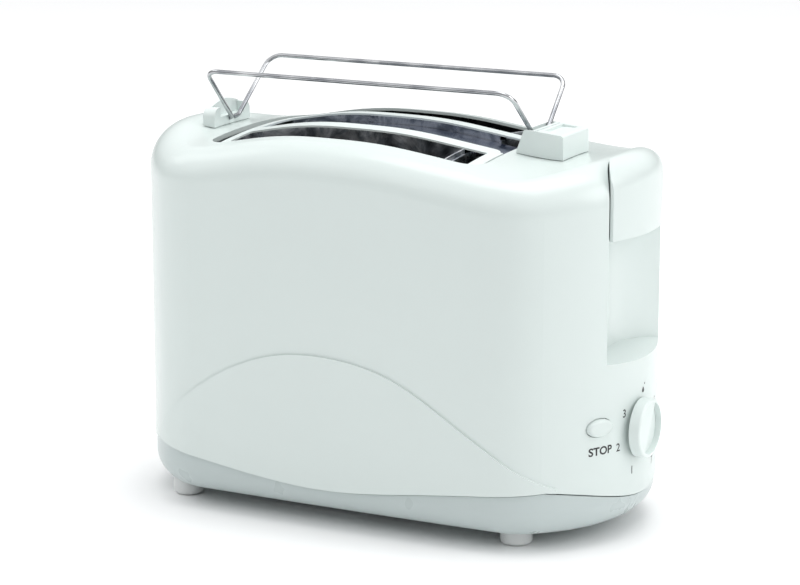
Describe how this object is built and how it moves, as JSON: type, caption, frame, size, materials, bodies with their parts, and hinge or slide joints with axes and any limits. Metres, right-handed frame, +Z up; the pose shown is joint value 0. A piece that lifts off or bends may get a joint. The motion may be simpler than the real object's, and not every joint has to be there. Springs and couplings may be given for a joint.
{
  "type": "pop-up toaster",
  "caption": "Pop-up toaster with wavy rounded body, side lever, browning dial, stop button, bottom crumb door and a folding chromed wire rack for warming rolls.",
  "frame": {"origin": "centre of the overall box at the level of the surface that the feet stand on", "axes": "+X along the toaster towards the end with the lever and dial, +Y towards the rear long side, +Z up"},
  "size_m": [0.2922, 0.152, 0.2326],
  "materials": {
    "body_white": "glossy",
    "base_white": "glossy",
    "trim_white": "satin",
    "foot_white": "matte",
    "chrome_wire": "polished",
    "sheet_steel": "heat mottled",
    "well_blue": "glossy",
    "dark_sheet": "matte black",
    "mica": "matte",
    "ribbon": "oxidised",
    "black_plastic": "matte",
    "board_green": "matte",
    "copper": "wound enamelled wire",
    "iron": "bare",
    "grey_rubber": "matte"
  },
  "bodies": {
    "toaster": {"housing": "body_white", "base_shell": "base_white", "foot_front_left": "foot_white", "foot_front_right": "foot_white", "foot_rear_left": "foot_white", "foot_rear_right": "foot_white", "slot_frame": "trim_white", "centre_channel": "well_blue", "well_wall_front": "sheet_steel", "well_wall_rear": "sheet_steel", "end_shield_left": "dark_sheet", "end_shield_right": "dark_sheet", "chassis_end_left": "sheet_steel", "chassis_end_right": "sheet_steel", "slot_guide_front": "sheet_steel", "slot_guide_rear": "sheet_steel", "reflector_front": "sheet_steel", "reflector_rear": "sheet_steel", "heater_card_front_outer": "mica", "heater_card_front_inner": "mica", "heater_card_rear_outer": "mica", "heater_card_rear_inner": "mica", "heater_ribbon_front_outer": "ribbon", "heater_ribbon_front_inner": "ribbon", "heater_ribbon_rear_outer": "ribbon", "heater_ribbon_rear_inner": "ribbon", "rack_block_left": "trim_white", "rack_block_right": "trim_white", "guide_rod": "chrome_wire", "return_spring": "chrome_wire", "magnet_core": "iron", "magnet_coil": "copper", "circuit_board": "board_green", "board_holder": "black_plastic", "board_components": "black_plastic", "dial_sensor": "black_plastic", "stop_switch": "black_plastic", "mains_switch": "black_plastic", "cord_gland": "grey_rubber", "cord_clamp": "black_plastic", "hinge_pin": "chrome_wire", "base_screws": "iron"},
    "carriage": {"bread_carrier_front": "sheet_steel", "bread_carrier_rear": "sheet_steel", "carriage_bracket": "sheet_steel", "lever_arm": "sheet_steel", "lever_paddle": "body_white", "armature": "iron"},
    "guard_front_outer": {"bread_guard_front_outer": "chrome_wire"},
    "guard_front_inner": {"bread_guard_front_inner": "chrome_wire"},
    "guard_rear_outer": {"bread_guard_rear_outer": "chrome_wire"},
    "guard_rear_inner": {"bread_guard_rear_inner": "chrome_wire"},
    "stop_button": {"stop_button": "body_white"},
    "browning_knob": {"browning_knob": "trim_white", "knob_shaft": "black_plastic"},
    "crumb_door": {"crumb_door": "sheet_steel"},
    "rack_front": {"rack_loop_front": "chrome_wire"},
    "rack_rear": {"rack_loop_rear": "chrome_wire"}
  },
  "joints": [
    {"name": "lever", "type": "slide", "parent": "toaster", "child": "carriage", "axis": [0, 0, -1], "range_m": [0, 0.06], "stiffness_N_per_m": 60, "springref_m": -0.045, "deforming": ["return_spring"]},
    {"name": "guard_front_outer_slide", "type": "slide", "parent": "toaster", "child": "guard_front_outer", "axis": [0, 1, 0], "range_m": [0, 0.004]},
    {"name": "guard_front_inner_slide", "type": "slide", "parent": "toaster", "child": "guard_front_inner", "axis": [0, -1, 0], "range_m": [0, 0.004]},
    {"name": "guard_rear_outer_slide", "type": "slide", "parent": "toaster", "child": "guard_rear_outer", "axis": [0, -1, 0], "range_m": [0, 0.004]},
    {"name": "guard_rear_inner_slide", "type": "slide", "parent": "toaster", "child": "guard_rear_inner", "axis": [0, 1, 0], "range_m": [0, 0.004]},
    {"name": "stop_press", "type": "slide", "parent": "toaster", "child": "stop_button", "axis": [-0.8918, 0.4524, 0], "range_m": [0, 0.0025], "stiffness_N_per_m": 500, "springref_m": -0.001},
    {"name": "browning_dial", "type": "hinge", "parent": "toaster", "child": "browning_knob", "pos_m": [0.1391, -0.007, 0.058], "axis": [1, 0, 0], "range_deg": [-150, 150]},
    {"name": "crumb_door_hinge", "type": "hinge", "parent": "toaster", "child": "crumb_door", "pos_m": [-0.0749, 0, 0.0098], "axis": [0, 1, 0], "range_deg": [0, 80]},
    {"name": "rack_rear_fold", "type": "hinge", "parent": "toaster", "child": "rack_rear", "pos_m": [-0.0099, 0.0026, 0.2012], "axis": [1, 0, 0], "range_deg": [0, 40]},
    {"name": "rack_front_fold", "type": "hinge", "parent": "toaster", "child": "rack_front", "pos_m": [-0.0099, -0.0026, 0.2012], "axis": [-1, 0, 0], "range_deg": [0, 40]}
  ],
  "couplings": [
    {"joint": "guard_front_outer_slide", "follows": "lever", "ratio": 0.0666},
    {"joint": "guard_front_inner_slide", "follows": "lever", "ratio": 0.0666},
    {"joint": "guard_rear_outer_slide", "follows": "lever", "ratio": 0.0666},
    {"joint": "guard_rear_inner_slide", "follows": "lever", "ratio": 0.0666}
  ]
}
